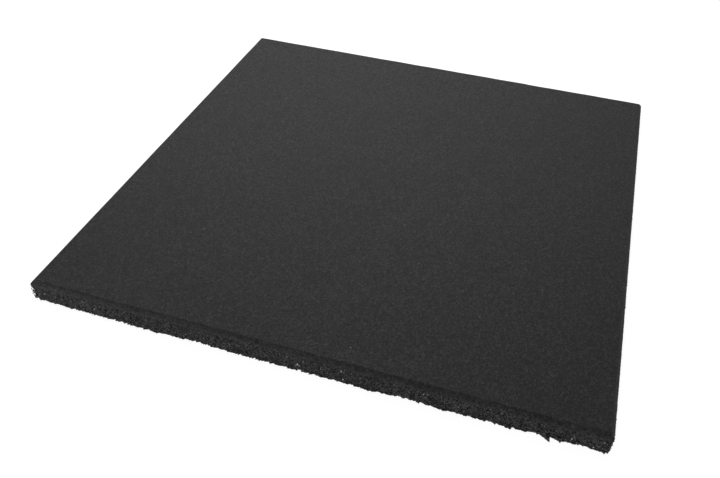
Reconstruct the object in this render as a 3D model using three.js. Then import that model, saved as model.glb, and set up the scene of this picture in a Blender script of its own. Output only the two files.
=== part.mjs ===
// A square floor tile of bonded rubber granulate, press-moulded in one piece. Millimetres, +Z up.
// The origin is the centre of the underside. X runs along the length and Y along the width.
// The tile is one solid: a level underside, upright butt faces, a crowned bevel and a level tread face.
import * as THREE from "three";

// Driving dimensions
const TILE_LENGTH = 500; // along X, from butt face to butt face
const TILE_WIDTH = 500; // along Y, from butt face to butt face
const TILE_THICKNESS = 20; // from the underside to the tread face
const BEVEL_ACROSS = 4; // level reach of the bevel round the tread face
const BEVEL_DOWN = 4; // drop of the bevel from the tread face to the rim
const BEVEL_CROWN = 0.2; // how far the bevel's middle stands out from a straight chamfer
const BEVEL_STEPS = 4; // straight steps in the bevel's section
const CORNER_RADIUS = 2.5; // upright corners, measured on the butt faces
const BOTTOM_WEAR = 1; // crumb worn off the bottom edge, as much inwards as upwards
const LEAST_RADIUS = 0.5; // corner radius that is left where an outline is drawn far in
const CORNER_STEPS = 6; // straight steps in each quarter turn of a corner

// The bevel's section from the rim up to the tread face, as [inset from the butt face, height].
// The curve's middle stands out from its chord by half as much as its control point does.
function bevelLevels() {
  const rim = new THREE.Vector2(0, TILE_THICKNESS - BEVEL_DOWN);
  const crease = new THREE.Vector2(BEVEL_ACROSS, TILE_THICKNESS);
  const outward = new THREE.Vector2(-BEVEL_DOWN, BEVEL_ACROSS).normalize();
  const control = rim.clone().lerp(crease, 1 / 2).addScaledVector(outward, 2 * BEVEL_CROWN);
  const curve = new THREE.QuadraticBezierCurve(rim, control, crease);
  return curve.getPoints(BEVEL_STEPS).map((point) => [point.x, point.y]);
}

// The whole section at mid-side, from the bottom up.
function sectionLevels() {
  return [[BOTTOM_WEAR, 0], [0, BOTTOM_WEAR], ...bevelLevels()];
}

// The outline of the tile at one level, drawn in by an inset, anticlockwise seen from above.
function outlineAt(inset) {
  const halfLength = TILE_LENGTH / 2 - inset;
  const halfWidth = TILE_WIDTH / 2 - inset;
  const radius = Math.max(CORNER_RADIUS - inset, LEAST_RADIUS);
  const centreX = halfLength - radius;
  const centreY = halfWidth - radius;
  const quarter = Math.PI / 2;
  const corners = [
    [centreX, centreY],
    [-centreX, centreY],
    [-centreX, -centreY],
    [centreX, -centreY],
  ];
  return corners.flatMap(([x, y], index) => {
    const start = index * quarter;
    const arc = new THREE.EllipseCurve(x, y, radius, radius, start, start + quarter);
    return arc.getPoints(CORNER_STEPS);
  });
}

// One ring of points for each level, with walls between the rings and a level cap at both ends.
function loftedBody(levels) {
  const rings = levels.map(([inset, height]) => outlineAt(inset).map((p) => [p.x, p.y, height]));
  const count = rings[0].length;
  const faces = [];
  for (let ring = 0; ring + 1 < rings.length; ring += 1) {
    for (let i = 0; i < count; i += 1) {
      const next = (i + 1) % count;
      const low = ring * count;
      const high = low + count;
      faces.push(low + i, low + next, high + next);
      faces.push(low + i, high + next, high + i);
    }
  }
  const cap = THREE.ShapeUtils.triangulateShape(outlineAt(levels[0][0]), []);
  const top = (rings.length - 1) * count;
  for (const [a, b, c] of cap) {
    faces.push(c, b, a);
    faces.push(top + a, top + b, top + c);
  }
  const geometry = new THREE.BufferGeometry();
  geometry.setAttribute("position", new THREE.Float32BufferAttribute(rings.flat(2), 3));
  geometry.setIndex(faces);
  geometry.computeVertexNormals();
  return geometry;
}

const rubberGranulate = new THREE.MeshStandardMaterial({
  name: "rubber_granulate",
  color: new THREE.Color("#303032"),
  roughness: 0.9,
  metalness: 0,
});

const tile = new THREE.Mesh(loftedBody(sectionLevels()), rubberGranulate);
tile.name = "tile";

const floorTile = new THREE.Group();
floorTile.add(tile);

export default floorTile;
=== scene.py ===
"""The looks of a rubber gym floor tile, pressed in one piece from bonded rubber granulate. Metres, +Z up."""
import math

import bmesh
import bpy
import numpy as np
from mathutils import Matrix, Vector


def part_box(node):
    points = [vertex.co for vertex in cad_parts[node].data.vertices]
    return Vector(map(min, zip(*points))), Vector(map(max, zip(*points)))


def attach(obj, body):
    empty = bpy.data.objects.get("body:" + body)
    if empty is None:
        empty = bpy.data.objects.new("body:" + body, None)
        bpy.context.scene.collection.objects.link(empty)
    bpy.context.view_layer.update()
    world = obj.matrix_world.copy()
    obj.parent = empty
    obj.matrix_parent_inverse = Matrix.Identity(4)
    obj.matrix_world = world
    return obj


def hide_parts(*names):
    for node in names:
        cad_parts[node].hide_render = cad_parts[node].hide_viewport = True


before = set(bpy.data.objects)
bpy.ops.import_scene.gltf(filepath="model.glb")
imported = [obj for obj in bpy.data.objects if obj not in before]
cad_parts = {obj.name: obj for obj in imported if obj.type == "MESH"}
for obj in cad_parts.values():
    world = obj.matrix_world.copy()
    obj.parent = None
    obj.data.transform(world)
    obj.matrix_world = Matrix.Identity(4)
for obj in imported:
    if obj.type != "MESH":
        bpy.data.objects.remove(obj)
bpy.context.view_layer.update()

# Lengths are in millimetres, but in metres in the room
MM = 0.001
BODY = "root"
NODE = "tile"

# Sizes of the tile, with its overall size taken from the frame
tile_low, tile_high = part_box(NODE)
HALF = (tile_high.x - tile_low.x) / 2 / MM
THICKNESS = tile_high.z / MM
CORNER_RADIUS = 2.5
LEAST_RADIUS = 0.5
BEVEL_ACROSS = 4.0
BEVEL_DOWN = 4.0
BEVEL_CROWN = 0.2
RIM = THICKNESS - BEVEL_DOWN
SIDE = 2 * HALF
PERIMETER = 4 * SIDE
SIDES = ("front", "right", "back", "left")

# The body's mesh: points along each side, cells across the top face and the underside, and the angle in
# degrees above which an edge shades sharp
BODY_SEED = 7
SIDE_POINTS = 540
TOP_CELLS = 45
UNDERSIDE_CELLS = 180
SHARP_ANGLE = 25

# A name that ends in WAVES gives random waves round the perimeter, as (shortest, longest, seed), and one that
# ends in CURVE is an exponent
WAVE_TERMS = 40

# The fine skin: a crowned bevel, a rounded rim as (inset, height above the rim), and a ragged lower edge
BEVEL_STEPS = 7
CREASE_WANDER = 0.12
CREASE_WAVES = (40, 250, 5)
RIM_RAGGED = 0.2
RIM_WAVES = (2, 12, 9)
RIM_CURVE = 4
RIM_ROUND = ((0.25, 0.3), (0.12, 0.0))
SKIN_DROP = 0.5
SKIN_EDGE = RIM - SKIN_DROP
SKIN_EDGE_INSET = 0.1
SKIN_RAGGED = 0.25
SKIN_WAVES = (2, 9, 15)

# The wall behind the coarse crumb of the sides
WALL_DROP = 1.0
WALL_SETBACK = 1.5
WALL_ROUGHNESS = 0.35
WALL_STEPS = 9

# How the sides bulge towards the floor, and how their bottom edge and bottom corners are worn
BASE_BULGE = 1.2
WEAR_MEAN = 0.1
WEAR_SWING = 0.5
WEAR_WAVES = (5, 40, 3)
WEAR_LEAST = 0.0
WEAR_MOST = 2.0
WEAR_HEIGHT = 2.2
WEAR_CURVE = 1.4
CORNER_WEAR = 0.4
CORNER_WEAR_REACH = 5.0
CORNER_WEAR_HEIGHT = 6.0
CORNER_WEAR_CURVE = 1.5

# The foot, where the crumb flares out to a ragged edge: its flare as (height, share of the whole flare)
FOOT_FLARE = ((0.1, 1.0), (0.4, 0.95), (0.9, 0.7), (1.6, 0.2), (2.4, 0.0))
FOOT_REACH = 0.15
FOOT_RAGGED = 0.3
FOOT_WAVES = (2, 15, 17)
FOOT_ROUGHNESS = 0.1

# Teeth and notches that stand out in the foot of the front side, as (x, half width, reach)
FOOT_MARKS = (
    (-210.0, 2.5, 1.0), (-142.0, 11.0, 0.8), (-126.5, 3.5, 1.1), (-89.0, 13.0, -1.1),
    (61.0, 5.0, 1.2), (91.5, 12.0, -1.1), (121.5, 2.5, 1.1), (172.7, 3.0, 1.2),
    (192.3, 4.0, -1.3), (202.5, 2.0, 3.9), (207.0, 2.5, -1.0), (213.0, 2.5, 0.8), (228.0, 8.0, -0.9),
    (245.0, 1.5, 1.2),
)
MARK_HEIGHT = 4.0

# The underside, pressed level with open pits between the granules
UNDERSIDE_RELIEF = 0.9
UNDERSIDE_DEEPEST = 2.2
UNDERSIDE_JITTER = 0.8

# The shapes of the granules
CRUMB_SEED = 48
CRUMB_SHAPES = 16
CRUMB_CORNERS = (7, 11)  # the least, and one more than the most
CRUMB_CORNER_REACH = (0.75, 1.1)  # of the corners from the centre, as a share of the radius
CRUMB_STRETCH = (0.75, 1.25)  # along each axis
CRUMB_SEAT = 0.95  # how deep a centre lies in the side, as a share of the radius
FLOOR_CLEARANCE = 0.05

# The coarse granules of the sides, by the cell of their grid, their radii and how proud they stand
CRUMB_CELL = 0.92
CRUMB_RADIUS = (0.35, 0.75)
LARGE_CRUMB_RADIUS = (0.9, 1.3)
LARGE_CRUMB_SHARE = 0.03
CRUMB_PROUD = (-0.85, 0.5)
CRUMB_MISSING = 0.11
CRUMB_LOWEST = 0.5  # as a share of the radius, above the floor
CRUMB_HIGHEST = 0.8  # as a share of the radius, below the skin's lower edge
LUMP = 0.15
LUMP_WAVES = (4, 30, 11)

# The fine granules in a band at the skin's lower edge, where the coarse ones thin out and stand less proud
FINE_CELL = 0.85
FINE_RADIUS = (0.25, 0.5)
FINE_DEPTH = 1.8
FINE_PROUD = (-0.35, 0.1)
FINE_OVERLAP = 0.7  # share of the band's depth over which the coarse granules thin out
LEAST_PROUD = 0.2  # share of their proudness that the coarse granules keep at the skin's lower edge

# The granules of the foot, and larger ones that stand out from it as teeth
FOOT_CELL = 0.6
FOOT_BAND = 0.2
FOOT_RADIUS = (0.5, 0.85)
FOOT_PROUD = (-0.2, 0.3)
TOOTH_SPACING = 4.5
TOOTH_RADIUS = (0.5, 1.1)
TOOTH_HEIGHT = 0.4  # of the highest, as a share of the radius
TOOTH_PROUD = (0.2, 0.9)  # as a share of the radius

# The shades of granules, from 0 for the darkest to 1 for the palest
# The granules of the foot, and those low on the sides, get paler shades: painted light that offsets the shade
# near the floor
FOOT_PAINTED_LIGHT_SHADES = (0.6, 0.995)
LOW_CRUMB_HEIGHT = 3.0
LOW_CRUMB_PAINTED_LIGHT_SHADES = (0.35, 0.995)
PALE_SHADE = 1.0
FAINT_SHADE = 0.998

# Pale grains that stand out, as (x, y) on the top face and as (x, height, radius) on the front side
PALE_SEED = 57
TOP_GRAINS = (
    (132, -163), (39, -67), (-138, -136), (39, -230), (-9, -61), (42, -89), (-43, -209), (-121, 37),
)
FAINT_TOP_GRAINS = ((66, -116), (178, -113), (93, -229), (-87, 94), (-108, 134), (89, 31))
TOP_GRAIN_RADIUS = (0.6, 0.8)
TOP_GRAIN_DEPTH = 0.45
FRONT_GRAINS = (
    (-236.1, 9.5, 0.9), (-186.7, 7.3, 0.8), (0.2, 6.1, 1.4), (2.4, 5.2, 1.3),
    (37.5, 13.0, 0.9), (39.9, 4.3, 0.8), (220.8, 6.1, 0.9), (237.7, 2.8, 0.8),
)
FAINT_FRONT_GRAINS = (
    (-8.6, 12.5, 0.8), (5.7, 11.6, 0.8), (20.3, 9.4, 0.8), (105.4, 11.4, 0.8), (243.7, 12.0, 0.7),
)
FRONT_GRAIN_PROUD = 0.5

# Materials. A name that ends in NOISE gives (size, detail, roughness), and pairs in a row are the stops of a
# ramp, as (position, value)
SHADE_ATTRIBUTE = "shade"
COOL_CAST = 1.04  # blue as a share of red and green

# Finishes as (mean shade, (roughness of the darkest grains, of the palest), strength of the gloss)
TREAD_FINISH = (0.019, (0.75, 0.6), 0.5)
BEVEL_FINISH = (0.024, (0.82, 0.76), 0.33)

# Grains as (ramp of their tones, slope that a grain's random lean is multiplied by)
TREAD_GRAIN = (((0.0, 0.0), (0.3, 0.2), (0.6, 1.1), (1.0, 3.6)), 0.25)
BEVEL_GRAIN = (((0.0, 0.3), (0.4, 0.8), (0.8, 1.6), (1.0, 3.0)), 0.2)

# The fine skin's grains, clumps and clouds, its fine relief, and its sparse pale specks
GRAIN_SIZE = 1.0
CLUMP_SIZE = 2.4
CLUMP_TONES = ((0.0, 0.85), (0.6, 1.0), (1.0, 1.2))
CLOUD_NOISE = (60.0, 4.0, 0.6)
CLOUD_TONES = ((0.3, 0.9), (0.7, 1.1))
FINE_NOISE = (0.9, 3.0, 0.7)
FINE_BUMP = 0.25
SPECK_CELL = 13.0
SPECK_SPREAD = ((0.0, 1.0), (0.05, 0.6), (0.07, 0.0))
SPECK_CHOICE = ((0.72, 0.0), (0.78, 1.0))  # leaves most cells without a speck
SPECK_SHADE = 0.14

# The coarse crumb, with a noise that its mottle, its roughness and its relief follow
CRUMB_SHADE = 0.0305
CRUMB_SPECULAR = 0.4
CRUMB_TONES = ((0.0, 0.05), (0.5, 0.5), (0.85, 2.2), (0.998, 5.6), (1.0, 20.0))
CRUMB_NOISE = (0.7, 4.0, 0.7)
MOTTLE_TONES = ((0.25, 0.8), (0.75, 1.25))
CRUMB_ROUGHNESS = ((0.3, 0.35), (0.7, 0.65))
CRUMB_BUMP = 0.2
CRUMB_BUMP_STRENGTH = 0.7
WALL_CELL = 1.1

# The room, in metres, with a floor that glows a little
FLOOR_HALF = 6.0
FLOOR_SHADE = 0.3
FLOOR_ROUGHNESS = 0.9
FLOOR_GLOW = 0.95

# The world's brightness by elevation, as (sine of the elevation, share of its strength)
WORLD_LEVELS = ((0.0, 1.0), (0.1, 0.71), (0.2, 0.375), (0.3, 0.213), (0.5, 0.1), (0.75, 0.022), (1.0, 0.006))
WORLD_STRENGTH = 2.5
WORLD_LEFT = 0.4  # by how much the far left is brighter, and the far right dimmer, as a share of the middle
WORLD_FRONT = 0.7  # brightness of the far front, as a share of the middle

SOFTBOX_PLACE = (-0.23, 0.51, 0.78)
SOFTBOX_TARGET = (0.0, 0.0, 0.0)
SOFTBOX_SIZE = (0.88, 0.88)
SOFTBOX_POWER = 3.85

FILL_PLACE = (-0.62, -0.62, 0.05)
FILL_TARGET = (-0.2, -0.25, 0.0)
FILL_SIZE = (0.5, 0.08)
FILL_POWER = 1.1

CAMERA_PLACE = (0.16073, -0.61073, 0.48472)
CAMERA_TURN = 16.14  # degrees to the left of +Y
CAMERA_PITCH = 41.274  # degrees below level
CAMERA_ROLL = 2.089  # degrees
CAMERA_LENS = 37.604  # millimetres, as is the sensor's width
CAMERA_SENSOR = 36.0
CAMERA_SHIFT = (-0.01145, 0.00375)
CAMERA_NEAR = 0.01

# Sockets of a Mix node that mixes colours
MIX_FACTOR = 0
MIX_FIRST = 6
MIX_SECOND = 7
MIX_RESULT = 2


# Outlines and sections
def square_outline(distance):
    """Points on the square's outline at distances along it, from the front left corner, anticlockwise."""
    distance = np.asarray(distance, float) % PERIMETER
    side = (distance // SIDE).astype(int)
    along = distance - side * SIDE - HALF
    x = np.choose(side, [along, HALF, -along, -HALF])
    y = np.choose(side, [-HALF, along, HALF, -along])
    return x, y


def rounded(x, y, inset):
    """Points of the square's outline, moved in by an inset and round the corners."""
    radius = np.maximum(CORNER_RADIUS - inset, LEAST_RADIUS)
    shrink = (HALF - inset) / HALF
    x = x * shrink
    y = y * shrink
    core = HALF - inset - radius
    core_x = np.clip(x, -core, core)
    core_y = np.clip(y, -core, core)
    length = np.hypot(x - core_x, y - core_y)
    return core_x + (x - core_x) / length * radius, core_y + (y - core_y) / length * radius


def wander(distance, shortest, longest, seed):
    """A smooth random wave round the perimeter, of unit size, with wavelengths between two lengths."""
    rng = np.random.default_rng(seed)
    turns = rng.integers(int(PERIMETER / longest), int(PERIMETER / shortest), WAVE_TERMS)
    phases = rng.uniform(0, 2 * math.pi, WAVE_TERMS)
    waves = np.sin(np.outer(distance, turns) * 2 * math.pi / PERIMETER + phases)
    return waves.sum(axis=1) / math.sqrt(WAVE_TERMS / 2)


def foot_marks(distance):
    """How far the teeth reach out at the foot of the front side, with notches as less than nothing."""
    reach = np.zeros(len(distance))
    for x, half_width, out in FOOT_MARKS:
        reach += out * np.exp(-(((distance - HALF - x) / half_width) ** 2))
    return reach


def flare(height):
    """The share of the foot's flare at a height."""
    heights, shares = zip(*FOOT_FLARE)
    return np.interp(height, heights, shares)


def side_inset(distance, height):
    """How far the crumb lies inside the butt face, where less than nothing is outside it."""
    depth = WEAR_MEAN + WEAR_SWING * wander(distance, *WEAR_WAVES)
    depth = np.clip(depth, WEAR_LEAST, WEAR_MOST)
    edge = depth * np.clip(1 - height / (WEAR_HEIGHT + depth), 0, 1) ** WEAR_CURVE
    to_corner = np.abs((distance + HALF) % SIDE - HALF)
    corner = CORNER_WEAR * np.exp(-((to_corner / CORNER_WEAR_REACH) ** 2))
    corner = corner * np.clip(1 - height / CORNER_WEAR_HEIGHT, 0, 1) ** CORNER_WEAR_CURVE
    share = to_corner / HALF
    bulge = BASE_BULGE * share * (2 - share) * (1 - height / RIM)
    marks = foot_marks(distance) * np.clip(1 - height / MARK_HEIGHT, 0, 1)
    reach = FOOT_REACH + FOOT_RAGGED * wander(distance, *FOOT_WAVES)
    return edge + corner - bulge - marks - reach * flare(height)


def bevel_levels():
    """The bevel's section as (inset, height), from its inner edge down to just above the rim."""
    chord = math.hypot(BEVEL_ACROSS, BEVEL_DOWN)
    levels = []
    for step in range(BEVEL_STEPS):
        up = 1 - step / (BEVEL_STEPS + 1)
        crown = 4 * BEVEL_CROWN * up * (1 - up)
        inset = BEVEL_ACROSS * up - crown * BEVEL_DOWN / chord
        height = RIM + BEVEL_DOWN * up + crown * BEVEL_ACROSS / chord
        levels.append((inset, height))
    return levels


def skin_rings(distance):
    """The rings of the fine skin as (inset, height), from the crease over the rim to the lower edge."""
    crease = CREASE_WANDER * wander(distance, *CREASE_WAVES)
    ragged = RIM_RAGGED * wander(distance, *RIM_WAVES)
    rings = []
    for inset, height in bevel_levels():
        out = 1 - inset / BEVEL_ACROSS
        near_rim = out ** RIM_CURVE
        rings.append((inset + crease * (1 - out) + np.abs(ragged) * near_rim, height + ragged * near_rim))
    for inset, rise in RIM_ROUND:
        rings.append((inset + np.abs(ragged), RIM + rise + ragged))
    lower_edge = SKIN_EDGE + SKIN_RAGGED * wander(distance, *SKIN_WAVES)
    rings.append((SKIN_EDGE_INSET + np.abs(ragged), lower_edge))
    return rings


def wall_rings(distance, rng):
    """The rings of the rough wall behind the crumb as (inset, height), from the skin down to the foot."""
    foot_heights = [height for height, _ in reversed(FOOT_FLARE)]
    wall_heights = np.linspace(SKIN_EDGE - WALL_DROP, foot_heights[0], WALL_STEPS)
    rings = []
    for height in [*wall_heights, *foot_heights[1:]]:
        share = flare(height)
        setback = WALL_SETBACK * (1 - share)
        roughness = WALL_ROUGHNESS + (FOOT_ROUGHNESS - WALL_ROUGHNESS) * share
        rough = np.abs(rng.normal(0, roughness, len(distance)))
        rings.append((setback + side_inset(distance, height) + rough, np.full(len(distance), height)))
    return rings


# Meshes
def new_mesh(name, vertices, faces, smooth):
    """A mesh object from points in millimetres, with one smooth flag for each face."""
    mesh = bpy.data.meshes.new(name)
    mesh.from_pydata((np.asarray(vertices) * MM).tolist(), [], faces)
    mesh.polygons.foreach_set("use_smooth", smooth)
    mesh.update()
    piece = bpy.data.objects.new(name, mesh)
    bpy.context.scene.collection.objects.link(piece)
    return piece


def ring_faces(upper, lower):
    """Quads between two rings of vertex numbers, facing out where the upper ring lies above the lower."""
    return np.stack([upper, lower, np.roll(lower, -1), np.roll(upper, -1)], axis=1).tolist()


def cap_numbers(loop, cells, start):
    """Vertex numbers of a square array, whose border lies on a loop and whose inside counts from a start."""
    numbers = np.empty((cells + 1, cells + 1), int)
    numbers[1:-1, 1:-1] = start + np.arange((cells - 1) ** 2).reshape(cells - 1, cells - 1)
    border = loop[::len(loop) // (4 * cells)]
    numbers[:-1, 0] = border[:cells]
    numbers[-1, :-1] = border[cells:2 * cells]
    numbers[:0:-1, -1] = border[2 * cells:3 * cells]
    numbers[0, :0:-1] = border[3 * cells:]
    return numbers


def cap_faces(numbers, loop, flip):
    """Faces over a square array, which take in every point of the loop along its border."""
    cells = len(numbers) - 1
    step = len(loop) // (4 * cells)
    position = {number: k for k, number in enumerate(loop.tolist())}
    around = loop.tolist() * 2

    def edge(a, b):
        """The points from a up to b, where the two follow each other round the loop, or else a alone."""
        if a in position and b in position and (position[b] - position[a]) % len(loop) == step:
            return around[position[a]:position[a] + step]
        return [a]

    rows = numbers.tolist()
    faces = []
    for i in range(cells):
        for j in range(cells):
            corners = (rows[i][j], rows[i + 1][j], rows[i + 1][j + 1], rows[i][j + 1])
            face = [point for a, b in zip(corners, corners[1:] + corners[:1]) for point in edge(a, b)]
            faces.append(face[::-1] if flip else face)
    return faces


def inner_grid(half, cells):
    """The points inside the border of a square grid, as flat arrays of x and y."""
    lines = np.linspace(-half, half, cells + 1)[1:-1]
    x, y = np.meshgrid(lines, lines, indexing="ij")
    return x.ravel(), y.ravel()


def top_points():
    """The points inside the border of the level top face."""
    x, y = inner_grid(HALF - BEVEL_ACROSS, TOP_CELLS)
    return np.stack([x, y, np.full(len(x), THICKNESS)], axis=1)


def underside_points(rng):
    """The points inside the border of the underside, level but for its pits."""
    x, y = inner_grid(HALF, UNDERSIDE_CELLS)
    pits = np.clip(rng.normal(0, UNDERSIDE_RELIEF, len(x)), 0, UNDERSIDE_DEEPEST)
    jitter = rng.uniform(-UNDERSIDE_JITTER, UNDERSIDE_JITTER, (2, len(x)))
    return np.stack([x + jitter[0], y + jitter[1], pits], axis=1)


def body_faces(loops):
    """The body's faces from the top down, over all its rings of vertex numbers."""
    top = cap_numbers(loops[0], TOP_CELLS, loops.size)
    underside = cap_numbers(loops[-1], UNDERSIDE_CELLS, loops.size + (TOP_CELLS - 1) ** 2)
    faces = cap_faces(top, loops[0], flip=False)
    for upper, lower in zip(loops, loops[1:]):
        faces += ring_faces(upper, lower)
    return faces + cap_faces(underside, loops[-1], flip=True)


def build_body():
    """The closed body: top face, bevel, rounded rim, set-back rough sides and rough underside."""
    rng = np.random.default_rng(BODY_SEED)
    distance = np.arange(4 * SIDE_POINTS) * SIDE / SIDE_POINTS
    loop_x, loop_y = square_outline(distance)
    skin = skin_rings(distance)
    rings = skin + wall_rings(distance, rng)
    points = []
    for inset, height in rings:
        x, y = rounded(loop_x, loop_y, inset)
        points.append(np.stack([x, y, height], axis=1))
    points[0][:, 2] = THICKNESS
    points += [top_points(), underside_points(rng)]

    faces = body_faces(np.arange(len(rings) * len(distance)).reshape(len(rings), -1))
    tread_faces = TOP_CELLS ** 2
    skin_faces = tread_faces + (len(skin) - 1) * len(distance)
    order = np.arange(len(faces))
    piece = new_mesh("tile_body", np.concatenate(points), faces, order < skin_faces)
    piece.data.set_sharp_from_angle(angle=math.radians(SHARP_ANGLE))
    piece.data.materials.append(skin_material("fine_rubber_tread", *TREAD_FINISH, *TREAD_GRAIN))
    piece.data.materials.append(skin_material("fine_rubber_bevel", *BEVEL_FINISH, *BEVEL_GRAIN))
    piece.data.materials.append(crumb_material("coarse_rubber_wall", own_shades=False))
    slots = (order >= tread_faces).astype(np.int32) + (order >= skin_faces)
    piece.data.polygons.foreach_set("material_index", slots)
    return piece


def hull_of(points):
    """The convex hull of points, as (vertices, triangles)."""
    hull = bmesh.new()
    for point in points:
        hull.verts.new(point)
    bmesh.ops.convex_hull(hull, input=hull.verts)
    loose = [vertex for vertex in hull.verts if not vertex.link_faces]
    bmesh.ops.delete(hull, geom=loose, context="VERTS")
    bmesh.ops.triangulate(hull, faces=hull.faces)
    bmesh.ops.recalc_face_normals(hull, faces=hull.faces)
    hull.verts.index_update()
    vertices = np.array([vertex.co for vertex in hull.verts])
    triangles = np.array([[vertex.index for vertex in face.verts] for face in hull.faces])
    hull.free()
    return vertices, triangles


def crumb_shapes(rng):
    """Angular granule shapes of about unit radius, as (vertices, triangles)."""
    shapes = []
    for _ in range(CRUMB_SHAPES):
        points = rng.normal(size=(rng.integers(*CRUMB_CORNERS), 3))
        points /= np.linalg.norm(points, axis=1, keepdims=True)
        points *= rng.uniform(*CRUMB_CORNER_REACH, (len(points), 1))
        shapes.append(hull_of(points))
    return shapes


def random_turns(count, rng):
    """Random rotation matrices, evenly spread, from unit quaternions."""
    quaternions = rng.normal(size=(count, 4))
    quaternions /= np.linalg.norm(quaternions, axis=1, keepdims=True)
    w, x, y, z = quaternions.T
    rows = [
        [1 - 2 * (y * y + z * z), 2 * (x * y - z * w), 2 * (x * z + y * w)],
        [2 * (x * y + z * w), 1 - 2 * (x * x + z * z), 2 * (y * z - x * w)],
        [2 * (x * z - y * w), 2 * (y * z + x * w), 1 - 2 * (x * x + y * y)],
    ]
    return np.moveaxis(np.array(rows), 2, 0)


def granules(name, centres, radii, shades, shapes, rng):
    """One mesh of many angular granules, with a shade attribute for each."""
    pick = rng.integers(0, len(shapes), len(centres))
    turns = random_turns(len(centres), rng)
    stretch = rng.uniform(*CRUMB_STRETCH, (len(centres), 3)) * radii[:, None]
    vertex_sets = []
    face_sets = []
    shade_sets = []
    start = 0
    for number, (points, triangles) in enumerate(shapes):
        chosen = np.flatnonzero(pick == number)
        stretched = points[None, :, :] * stretch[chosen, None, :]
        placed = np.einsum("nij,nkj->nki", turns[chosen], stretched) + centres[chosen, None, :]
        offsets = start + np.arange(len(chosen)) * len(points)
        vertex_sets.append(placed.reshape(-1, 3))
        face_sets.append((triangles[None, :, :] + offsets[:, None, None]).reshape(-1, 3))
        shade_sets.append(np.repeat(shades[chosen], len(points)))
        start += len(chosen) * len(points)
    vertices = np.concatenate(vertex_sets)
    vertices[:, 2] = np.clip(vertices[:, 2], FLOOR_CLEARANCE, None)
    faces = np.concatenate(face_sets)
    piece = new_mesh(name, vertices, faces.tolist(), np.zeros(len(faces), bool))
    attribute = piece.data.attributes.new(SHADE_ATTRIBUTE, "FLOAT", "POINT")
    attribute.data.foreach_set("value", np.concatenate(shade_sets).astype(np.float32))
    return piece


def scatter(side, rng, cell, low, high):
    """Places on one side in a grid, each moved by up to half a cell, as (distances, heights)."""
    columns = round(SIDE / cell)
    rows = max(1, round((high - low) / cell))
    lines = low + (np.arange(rows) + 0.5) * (high - low) / rows
    distance, height = np.meshgrid((np.arange(columns) + 0.5) * cell, lines)
    distance = distance.ravel() + rng.uniform(-0.5, 0.5, distance.size) * cell
    height = height.ravel() + rng.uniform(-0.5, 0.5, height.size) * cell
    return distance + side * SIDE, height


def side_places(distance, height, radii, proud):
    """Centres of granules at distances along the outline and heights, each standing proud of the side."""
    square_x, square_y = square_outline(distance)
    x, y = rounded(square_x, square_y, side_inset(distance, height) + CRUMB_SEAT * radii - proud)
    return np.stack([x, y, height], axis=1)


def coarse_crumb(side, rng):
    """The coarse granules of one side, some of them missing, as (centres, radii)."""
    distance, height = scatter(side, rng, CRUMB_CELL, 0, SKIN_EDGE)
    present = rng.random(len(height)) > CRUMB_MISSING
    below_fine = SKIN_EDGE - height > FINE_DEPTH * rng.uniform(0, FINE_OVERLAP, len(height))
    distance = distance[present & below_fine]
    height = height[present & below_fine]
    count = len(height)
    large = rng.random(count) < LARGE_CRUMB_SHARE
    radii = np.where(large, rng.uniform(*LARGE_CRUMB_RADIUS, count), rng.uniform(*CRUMB_RADIUS, count))
    height = np.clip(height, CRUMB_LOWEST * radii, SKIN_EDGE - CRUMB_HIGHEST * radii)
    proud = rng.uniform(*CRUMB_PROUD, count) + LUMP * wander(distance, *LUMP_WAVES)
    proud = proud * np.clip((SKIN_EDGE - height) / FINE_DEPTH, LEAST_PROUD, 1)
    return side_places(distance, height, radii, proud), radii


def even_crumb(side, rng, cell, low, high, radius, proud):
    """Granules spread evenly over a band of one side between two heights, as (centres, radii)."""
    distance, height = scatter(side, rng, cell, low, high)
    radii = rng.uniform(*radius, len(height))
    return side_places(distance, height, radii, rng.uniform(*proud, len(height))), radii


def foot_teeth(side, rng):
    """Larger granules that stand out at the foot, one in each short stretch of it, as (centres, radii)."""
    count = round(SIDE / TOOTH_SPACING)
    distance = (side + (np.arange(count) + rng.random(count)) / count) * SIDE
    radii = rng.uniform(*TOOTH_RADIUS, count)
    height = rng.uniform(0, TOOTH_HEIGHT, count) * radii
    return side_places(distance, height, radii, rng.uniform(*TOOTH_PROUD, count) * radii), radii


def build_crumb(side, name, shapes):
    """The granules of one side: coarse ones, fine ones at the skin's lower edge, and a foot with teeth."""
    rng = np.random.default_rng(CRUMB_SEED + side)
    coarse = coarse_crumb(side, rng)
    fine = even_crumb(side, rng, FINE_CELL, SKIN_EDGE - FINE_DEPTH, RIM, FINE_RADIUS, FINE_PROUD)
    foot = even_crumb(side, rng, FOOT_CELL, 0, FOOT_BAND, FOOT_RADIUS, FOOT_PROUD)
    teeth = foot_teeth(side, rng)
    centres, radii = (np.concatenate(values) for values in zip(coarse, fine, foot, teeth))
    shades = rng.uniform(0, FAINT_SHADE, len(radii))
    # Granules low on the side and in the foot are given paler shades: painted light against the shade near
    # the floor
    low = centres[:, 2] < LOW_CRUMB_HEIGHT
    shades[low] = rng.uniform(*LOW_CRUMB_PAINTED_LIGHT_SHADES, low.sum())
    foot_start = len(coarse[1]) + len(fine[1])
    shades[foot_start:] = rng.uniform(*FOOT_PAINTED_LIGHT_SHADES, len(radii) - foot_start)
    return granules(name, centres, radii, shades, shapes, rng)


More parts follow.
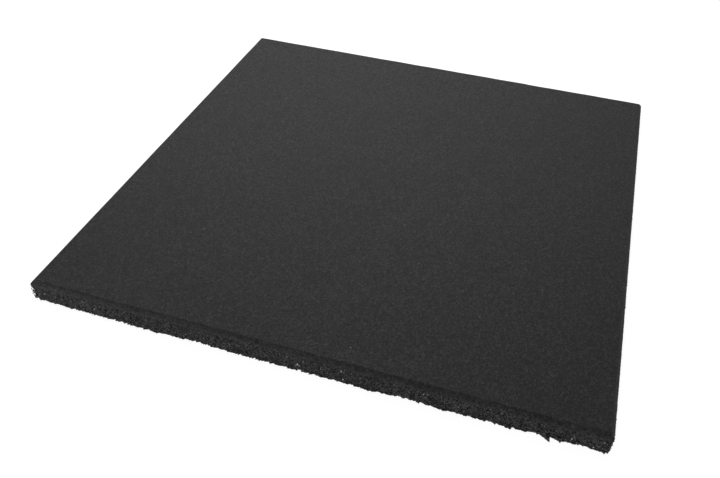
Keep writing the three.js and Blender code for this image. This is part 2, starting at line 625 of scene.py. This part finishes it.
def build_pale_grains(shapes):
    """The few pale granules that stand out in the top face and the front side."""
    rng = np.random.default_rng(PALE_SEED)
    top_places = TOP_GRAINS + FAINT_TOP_GRAINS
    top_radii = rng.uniform(*TOP_GRAIN_RADIUS, len(top_places))
    top = [(x, y, THICKNESS - TOP_GRAIN_DEPTH * radius) for (x, y), radius in zip(top_places, top_radii)]
    front_x, front_height, front_radii = np.array(FRONT_GRAINS + FAINT_FRONT_GRAINS).T
    front = side_places(front_x + HALF, front_height, front_radii, FRONT_GRAIN_PROUD)
    shades = [PALE_SHADE] * len(TOP_GRAINS) + [FAINT_SHADE] * len(FAINT_TOP_GRAINS)
    shades += [PALE_SHADE] * len(FRONT_GRAINS) + [FAINT_SHADE] * len(FAINT_FRONT_GRAINS)
    centres = np.concatenate([np.array(top), front])
    radii = np.concatenate([top_radii, front_radii])
    return granules("tile_pale_grains", centres, radii, np.array(shades), shapes, rng)


# Node trees and materials
def add(tree, kind, **inputs):
    """A node with its input values set by name, where a space in the name is an underscore here."""
    made = tree.nodes.new(kind)
    for key, value in inputs.items():
        made.inputs[key.replace("_", " ")].default_value = value
    return made


def new_material(name):
    """A material with a Principled shader, as (material, node tree, shader)."""
    material = bpy.data.materials.new(name)
    material.use_nodes = True
    tree = material.node_tree
    return material, tree, tree.nodes["Principled BSDF"]


def object_place(tree):
    """Where a point lies in the object's own frame."""
    return tree.nodes.new("ShaderNodeTexCoord").outputs["Object"]


def voronoi(tree, place, size):
    """A node that gives cells of about a size in millimetres."""
    made = add(tree, "ShaderNodeTexVoronoi", Scale=1 / (size * MM))
    tree.links.new(place, made.inputs["Vector"])
    return made


def noise(tree, place, size, detail, roughness):
    """Noise with features of about a size in millimetres."""
    made = add(tree, "ShaderNodeTexNoise", Scale=1 / (size * MM), Detail=detail, Roughness=roughness)
    tree.links.new(place, made.inputs["Vector"])
    return made.outputs["Fac"]


def ramp(tree, source, stops):
    """A colour ramp over a source, with stops as (position, grey value)."""
    made = tree.nodes.new("ShaderNodeValToRGB")
    while len(made.color_ramp.elements) < len(stops):
        made.color_ramp.elements.new(0.5)
    for element, (position, value) in zip(made.color_ramp.elements, stops):
        element.position = position
        element.color = (value, value, value, 1)
    tree.links.new(source, made.inputs["Fac"])
    return made.outputs["Color"]


def mix_colour(tree, blend, factor, first, second):
    """Two colours mixed, each given as a socket or as a value."""
    made = tree.nodes.new("ShaderNodeMix")
    made.data_type = "RGBA"
    made.blend_type = blend
    for number, value in ((MIX_FACTOR, factor), (MIX_FIRST, first), (MIX_SECOND, second)):
        if isinstance(value, bpy.types.NodeSocket):
            tree.links.new(value, made.inputs[number])
        else:
            made.inputs[number].default_value = value
    return made.outputs[MIX_RESULT]


def multiply(tree, colour, *factors):
    """A colour multiplied by one factor after another."""
    for factor in factors:
        colour = mix_colour(tree, "MULTIPLY", 1.0, colour, factor)
    return colour


def grey(value):
    """An opaque grey with the faint cool cast of carbon black rubber."""
    return (value, value, value * COOL_CAST, 1)


def vector_math(tree, operation, first, second):
    """A node with a vector operation on a socket and a socket or vector."""
    made = tree.nodes.new("ShaderNodeVectorMath")
    made.operation = operation
    tree.links.new(first, made.inputs[0])
    if isinstance(second, bpy.types.NodeSocket):
        tree.links.new(second, made.inputs[1])
    else:
        made.inputs[1].default_value = second
    return made


def grain_height(tree, place, cells):
    """Heights that give each cell a flat top with a tilt of its own, from its random colour."""
    mean_colour = (0.5, 0.5, 0.5)
    away = vector_math(tree, "SUBTRACT", place, cells.outputs["Position"]).outputs["Vector"]
    lean = vector_math(tree, "SUBTRACT", cells.outputs["Color"], mean_colour).outputs["Vector"]
    return vector_math(tree, "DOT_PRODUCT", away, lean).outputs["Value"]


def add_bump(tree, height, distance, strength=1.0):
    """A bump node over a height, which is multiplied by a distance."""
    made = add(tree, "ShaderNodeBump", Strength=strength, Distance=distance)
    tree.links.new(height, made.inputs["Height"])
    return made


def skin_material(name, shade, roughness, specular, grain_tones, grain_tilt):
    """Fine granulate pressed smooth: small cells that differ in tone and lean, and sparse pale specks."""
    material, tree, shader = new_material(name)
    place = object_place(tree)
    cells = voronoi(tree, place, GRAIN_SIZE)
    clumps = voronoi(tree, place, CLUMP_SIZE)
    specks = voronoi(tree, place, SPECK_CELL)
    cell_tone = ramp(tree, cells.outputs["Color"], grain_tones)
    clump_tone = ramp(tree, clumps.outputs["Color"], CLUMP_TONES)
    cloud_tone = ramp(tree, noise(tree, place, *CLOUD_NOISE), CLOUD_TONES)
    base = multiply(tree, grey(shade), cell_tone, clump_tone, cloud_tone)
    near_speck = ramp(tree, specks.outputs["Distance"], SPECK_SPREAD)
    chosen = ramp(tree, specks.outputs["Color"], SPECK_CHOICE)
    base = mix_colour(tree, "MIX", multiply(tree, near_speck, chosen), base, grey(SPECK_SHADE))
    tree.links.new(base, shader.inputs["Base Color"])
    darkest, palest = roughness
    rough = ramp(tree, cells.outputs["Color"], ((0.0, darkest), (1.0, palest)))
    tree.links.new(rough, shader.inputs["Roughness"])
    shader.inputs["Specular IOR Level"].default_value = specular
    relief = add_bump(tree, noise(tree, place, *FINE_NOISE), FINE_BUMP * MM)
    tilt = add_bump(tree, grain_height(tree, place, cells), grain_tilt)
    tree.links.new(relief.outputs["Normal"], tilt.inputs["Normal"])
    tree.links.new(tilt.outputs["Normal"], shader.inputs["Normal"])
    return material


def crumb_material(name, own_shades):
    """Coarse crumb: torn matte granules, toned by their own shades or else in cells, over dark pits."""
    material, tree, shader = new_material(name)
    place = object_place(tree)
    if own_shades:
        attribute = tree.nodes.new("ShaderNodeAttribute")
        attribute.attribute_name = SHADE_ATTRIBUTE
        shade = attribute.outputs["Fac"]
    else:
        shade = voronoi(tree, place, WALL_CELL).outputs["Color"]
    torn = noise(tree, place, *CRUMB_NOISE)
    tone = ramp(tree, shade, CRUMB_TONES)
    mottle = ramp(tree, torn, MOTTLE_TONES)
    tree.links.new(multiply(tree, grey(CRUMB_SHADE), tone, mottle), shader.inputs["Base Color"])
    tree.links.new(ramp(tree, torn, CRUMB_ROUGHNESS), shader.inputs["Roughness"])
    shader.inputs["Specular IOR Level"].default_value = CRUMB_SPECULAR
    relief = add_bump(tree, torn, CRUMB_BUMP * MM, CRUMB_BUMP_STRENGTH)
    tree.links.new(relief.outputs["Normal"], shader.inputs["Normal"])
    return material


def floor_material():
    """A plain white floor that glows a little, like a light table."""
    material, _, shader = new_material("pale_floor")
    shader.inputs["Base Color"].default_value = (FLOOR_SHADE, FLOOR_SHADE, FLOOR_SHADE, 1)
    shader.inputs["Roughness"].default_value = FLOOR_ROUGHNESS
    shader.inputs["Specular IOR Level"].default_value = 0.0
    shader.inputs["Emission Color"].default_value = (1, 1, 1, 1)
    shader.inputs["Emission Strength"].default_value = FLOOR_GLOW
    return material


# Room: floor, light and camera
def build_floor():
    """One large square under the tile."""
    corners = [(-FLOOR_HALF, -FLOOR_HALF, 0), (FLOOR_HALF, -FLOOR_HALF, 0)]
    corners += [(FLOOR_HALF, FLOOR_HALF, 0), (-FLOOR_HALF, FLOOR_HALF, 0)]
    mesh = bpy.data.meshes.new("floor")
    mesh.from_pydata(corners, [], [(0, 1, 2, 3)])
    floor = bpy.data.objects.new("floor", mesh)
    bpy.context.scene.collection.objects.link(floor)
    floor.data.materials.append(floor_material())


def build_world():
    """Soft light all round: bright near the horizon and to the left, dim overhead."""
    world = bpy.data.worlds.new("studio")
    bpy.context.scene.world = world
    world.use_nodes = True
    tree = world.node_tree
    background = tree.nodes["Background"]
    direction = tree.nodes.new("ShaderNodeTexCoord").outputs["Generated"]
    split = tree.nodes.new("ShaderNodeSeparateXYZ")
    tree.links.new(direction, split.inputs[0])
    level = ramp(tree, split.outputs["Z"], WORLD_LEVELS)
    sideways = add(tree, "ShaderNodeMapRange", From_Min=-1.0, To_Min=1 + WORLD_LEFT, To_Max=1 - WORLD_LEFT)
    tree.links.new(split.outputs["X"], sideways.inputs["Value"])
    forwards = add(tree, "ShaderNodeMapRange", From_Min=-1.0, From_Max=0.0, To_Min=WORLD_FRONT, To_Max=1.0)
    tree.links.new(split.outputs["Y"], forwards.inputs["Value"])
    level = multiply(tree, level, sideways.outputs["Result"], forwards.outputs["Result"])
    tree.links.new(level, background.inputs["Color"])
    background.inputs["Strength"].default_value = WORLD_STRENGTH


def area_light(name, place, target, size, power):
    """A rectangular lamp that shines at a target and doesn't show itself."""
    light = bpy.data.lights.new(name, "AREA")
    light.shape = "RECTANGLE"
    light.size, light.size_y = size
    light.energy = power
    lamp = bpy.data.objects.new(name, light)
    lamp.location = place
    lamp.visible_camera = False
    lamp.rotation_euler = (Vector(target) - Vector(place)).to_track_quat("-Z", "Y").to_euler()
    bpy.context.scene.collection.objects.link(lamp)


def build_camera():
    """The camera, turned about the vertical, tipped down and rolled."""
    data = bpy.data.cameras.new("camera")
    data.lens = CAMERA_LENS
    data.sensor_width = CAMERA_SENSOR
    data.shift_x, data.shift_y = CAMERA_SHIFT
    data.clip_start = CAMERA_NEAR
    camera = bpy.data.objects.new("camera", data)
    turn = Matrix.Rotation(math.radians(CAMERA_TURN), 4, "Z")
    pitch = Matrix.Rotation(math.radians(90 - CAMERA_PITCH), 4, "X")
    roll = Matrix.Rotation(math.radians(CAMERA_ROLL), 4, "Z")
    camera.matrix_world = Matrix.Translation(CAMERA_PLACE) @ turn @ pitch @ roll
    bpy.context.scene.collection.objects.link(camera)
    bpy.context.scene.camera = camera


def declare(piece):
    """Ties a piece to the frame: it moves with the one body and stands for the one node."""
    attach(piece, BODY)
    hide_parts(NODE)


build_camera()
build_floor()
build_world()
area_light("softbox", SOFTBOX_PLACE, SOFTBOX_TARGET, SOFTBOX_SIZE, SOFTBOX_POWER)
area_light("fill", FILL_PLACE, FILL_TARGET, FILL_SIZE, FILL_POWER)
bpy.context.scene.view_settings.view_transform = "Standard"

declare(build_body())
coarse_rubber = crumb_material("coarse_rubber_crumb", own_shades=True)
granule_shapes = crumb_shapes(np.random.default_rng(CRUMB_SEED))
for side, side_name in enumerate(SIDES):
    crumb = build_crumb(side, f"tile_crumb_{side_name}", granule_shapes)
    crumb.data.materials.append(coarse_rubber)
    declare(crumb)
pale_grains = build_pale_grains(granule_shapes)
pale_grains.data.materials.append(coarse_rubber)
declare(pale_grains)
